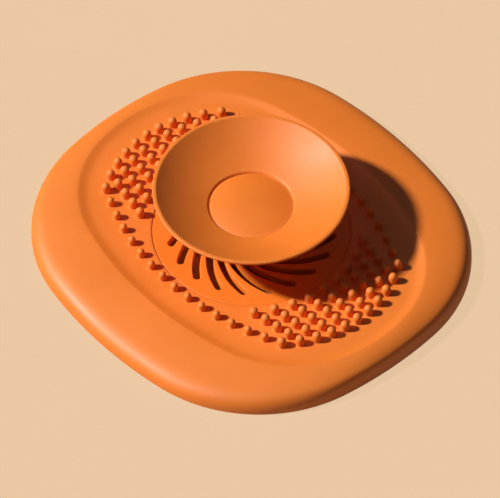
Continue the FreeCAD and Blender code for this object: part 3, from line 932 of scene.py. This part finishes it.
def seen_ray(tree):
    """One where a ray shows the background: from the camera, a reflection or a see-through piece."""
    path = tree.nodes.new("ShaderNodeLightPath")
    seen = math_node(tree, "MAXIMUM", path.outputs["Is Camera Ray"], path.outputs["Is Glossy Ray"])
    return math_node(tree, "MAXIMUM", seen, path.outputs["Is Transmission Ray"])


def mix_shaders(tree, share, first, second, output):
    """Sends a mix of two shaders to an output node."""
    blend = tree.nodes.new("ShaderNodeMixShader")
    tree.links.new(share, blend.inputs["Fac"])
    tree.links.new(first, blend.inputs[1])
    tree.links.new(second, blend.inputs[2])
    tree.links.new(blend.outputs["Shader"], tree.nodes[output].inputs["Surface"])


def make_floor_finish():
    """Plain peach paper with a light shadow on it, and left dark under the mat."""
    paper_value = 0.55
    dark_reach = 70.0 * MM
    plain_reach = 73.5 * MM
    plainness = 0.88
    finish, tree, shader = new_finish("peach_paper")
    skin = placed(tree, MOULDED_SKIN, Colour=PAPER_PEACH, Cloud_Scale=9.0,
                  Cloud_Depth=0.012, Grain_Scale=900.0, Sheen=0.85)
    dull = tree.nodes.new("ShaderNodeHueSaturation")
    dull.inputs["Value"].default_value = paper_value
    tree.links.new(skin.outputs["Colour"], dull.inputs["Color"])
    tree.links.new(dull.outputs["Color"], shader.inputs["Base Color"])
    tree.links.new(skin.outputs["Roughness"], shader.inputs["Roughness"])
    shader.inputs["Specular IOR Level"].default_value = 0.1
    plain = tree.nodes.new("ShaderNodeEmission")
    tree.links.new(skin.outputs["Colour"], plain.inputs["Color"])
    place = tree.nodes.new("ShaderNodeTexCoord").outputs["Object"]
    distance = tree.nodes.new("ShaderNodeVectorMath")
    distance.operation = "LENGTH"
    tree.links.new(place, distance.inputs[0])
    clear = tree.nodes.new("ShaderNodeMapRange")
    clear.inputs["From Min"].default_value = dark_reach
    clear.inputs["From Max"].default_value = plain_reach
    clear.inputs["To Max"].default_value = plainness
    tree.links.new(distance.outputs["Value"], clear.inputs["Value"])
    share = math_node(tree, "MULTIPLY", seen_ray(tree), clear.outputs["Result"])
    mix_shaders(tree, share, shader.outputs["BSDF"], plain.outputs["Emission"], "Material Output")
    return finish


# Finishes: name, colour, cloud scale, cloud depth, sheen, and share of painted edge highlight with wear.
mat_finish = make_silicone("mat_silicone", ORANGE, 32.0, 0.05, 0.53, 0.2)
pin_finish = make_silicone("pin_silicone", ORANGE, 120.0, 0.06, 0.62, 0.06)
cup_finish = make_silicone("cup_silicone", ORANGE, 45.0, 0.05, 0.52, 0.25)
button_finish = make_silicone("button_silicone", ORANGE, 55.0, 0.05, 0.47, 0.08)
grommet_finish = make_silicone("grommet_rubber", DEEP_ORANGE, 80.0, 0.05, 0.6, 0.2)
grille_finish = make_plastic("grille_matte_plastic", ORANGE)
stem_finish = make_plastic("stem_matte_plastic", ORANGE)

build_mat(mat_finish)
build_hair_pins(pin_finish)
build_grille(grille_finish)
build_stem_grommet(grommet_finish)
build_plug_stem(stem_finish)
build_plug_cup(cup_finish)
build_plug_button(button_finish)
clip = bpy.data.objects["retaining_clip"]
clip.data.materials.clear()
clip.data.materials.append(make_spring_steel())

# Camera at the photograph's angle, for a frame of 500 by 498.
AZIMUTH = math.radians(48.92)
ELEVATION = math.radians(49.53)
DISTANCE = 3.613
AIM_UP = -1.95 * MM
AIM_RIGHT = -0.46 * MM
SENSOR_WIDTH = 36.0
LENS_LENGTH = 693.8

# The sun's run to the right and away from the camera while it falls by the last value.
SUN_RIGHT = 27.3
SUN_AWAY = 0.6
SUN_FALL = 23.3
SUN_STRENGTH = 4.56
SUN_WIDTH = math.radians(4.5)

# Weak surround that lights the object, and what reflections show: a dim dome with a soft glow.
SURROUND_COLOUR = (0.86, 0.95, 1.08, 1.0)
SURROUND_STRENGTH = 0.05
DOME_LOW = 0.3
DOME_LOW_COLOUR = paint(60, 52, 50)
DOME_HIGH = 0.75
DOME_HIGH_COLOUR = paint(150, 147, 158)
GLOW_AWAY = 0.168
GLOW_LEFT = 0.555
GLOW_UP = 0.814
GLOW_REACH = math.radians(22)
GLOW_CORE = math.radians(5)
GLOW_COLOUR = (2.0, 1.85, 1.8, 1.0)

FLOOR_REACH = 3.0

right = Vector((math.cos(AZIMUTH), math.sin(AZIMUTH), 0.0))
away = Vector((-math.sin(AZIMUTH), math.cos(AZIMUTH), 0.0))


def add_turned(name, data, direction):
    """Puts a camera or lamp in the scene, looking along a direction."""
    item = bpy.data.objects.new(name, data)
    item.rotation_mode = "QUATERNION"
    item.rotation_quaternion = direction.to_track_quat("-Z", "Y")
    bpy.context.collection.objects.link(item)
    return item


def add_camera():
    """Long lens far off, aimed near the foot of the plug."""
    back = Vector((math.sin(AZIMUTH) * math.cos(ELEVATION), -math.cos(AZIMUTH) * math.cos(ELEVATION),
                   math.sin(ELEVATION)))
    up = back.cross(right)
    lens = bpy.data.cameras.new("photo_camera")
    lens.sensor_width = SENSOR_WIDTH
    lens.lens = LENS_LENGTH
    camera = add_turned("photo_camera", lens, -back)
    camera.location = up * AIM_UP + right * AIM_RIGHT + back * DISTANCE
    bpy.context.scene.camera = camera


def add_key_light():
    """Key light from the left."""
    key = bpy.data.lights.new("key_light", "SUN")
    key.energy = SUN_STRENGTH
    key.angle = SUN_WIDTH
    travel = (right * SUN_RIGHT + away * SUN_AWAY - Vector((0.0, 0.0, SUN_FALL))).normalized()
    add_turned("key_light", key, travel)


def add_surround():
    """World round the object."""
    world = bpy.data.worlds.new("studio_surround")
    world.use_nodes = True
    bpy.context.scene.world = world
    sky = world.node_tree
    surround = sky.nodes["Background"]
    surround.inputs["Color"].default_value = SURROUND_COLOUR
    surround.inputs["Strength"].default_value = SURROUND_STRENGTH
    outlook = sky.nodes.new("ShaderNodeTexCoord").outputs["Generated"]
    aloft = sky.nodes.new("ShaderNodeSeparateXYZ")
    sky.links.new(outlook, aloft.inputs["Vector"])
    dome = sky.nodes.new("ShaderNodeValToRGB")
    low, high = dome.color_ramp.elements
    low.position = DOME_LOW
    low.color = DOME_LOW_COLOUR
    high.position = DOME_HIGH
    high.color = DOME_HIGH_COLOUR
    sky.links.new(aloft.outputs["Z"], dome.inputs["Fac"])
    towards = sky.nodes.new("ShaderNodeVectorMath")
    towards.operation = "DOT_PRODUCT"
    towards.inputs[1].default_value = away * GLOW_AWAY - right * GLOW_LEFT + Vector((0.0, 0.0, GLOW_UP))
    sky.links.new(outlook, towards.inputs[0])
    spread = sky.nodes.new("ShaderNodeMapRange")
    spread.inputs["From Min"].default_value = math.cos(GLOW_REACH)
    spread.inputs["From Max"].default_value = math.cos(GLOW_CORE)
    sky.links.new(towards.outputs["Value"], spread.inputs["Value"])
    glow = sky.nodes.new("ShaderNodeMix")
    glow.data_type = "RGBA"
    glow.inputs["B"].default_value = GLOW_COLOUR
    sky.links.new(spread.outputs["Result"], glow.inputs["Factor"])
    sky.links.new(dome.outputs["Color"], glow.inputs["A"])
    backdrop = sky.nodes.new("ShaderNodeBackground")
    sky.links.new(glow.outputs["Result"], backdrop.inputs["Color"])
    mix_shaders(sky, seen_ray(sky), surround.outputs["Background"], backdrop.outputs["Background"],
                "World Output")


def add_floor():
    """Wide paper floor, not part of the object."""
    corners = [(-FLOOR_REACH, -FLOOR_REACH, 0), (FLOOR_REACH, -FLOOR_REACH, 0),
               (FLOOR_REACH, FLOOR_REACH, 0), (-FLOOR_REACH, FLOOR_REACH, 0)]
    floor_mesh = bpy.data.meshes.new("paper_floor")
    floor_mesh.from_pydata(corners, [], [(0, 1, 2, 3)])
    floor_mesh.materials.append(make_floor_finish())
    paper_floor = bpy.data.objects.new("paper_floor", floor_mesh)
    bpy.context.collection.objects.link(paper_floor)


add_camera()
add_key_light()
add_surround()
add_floor()

bpy.context.scene.view_settings.view_transform = "Standard"
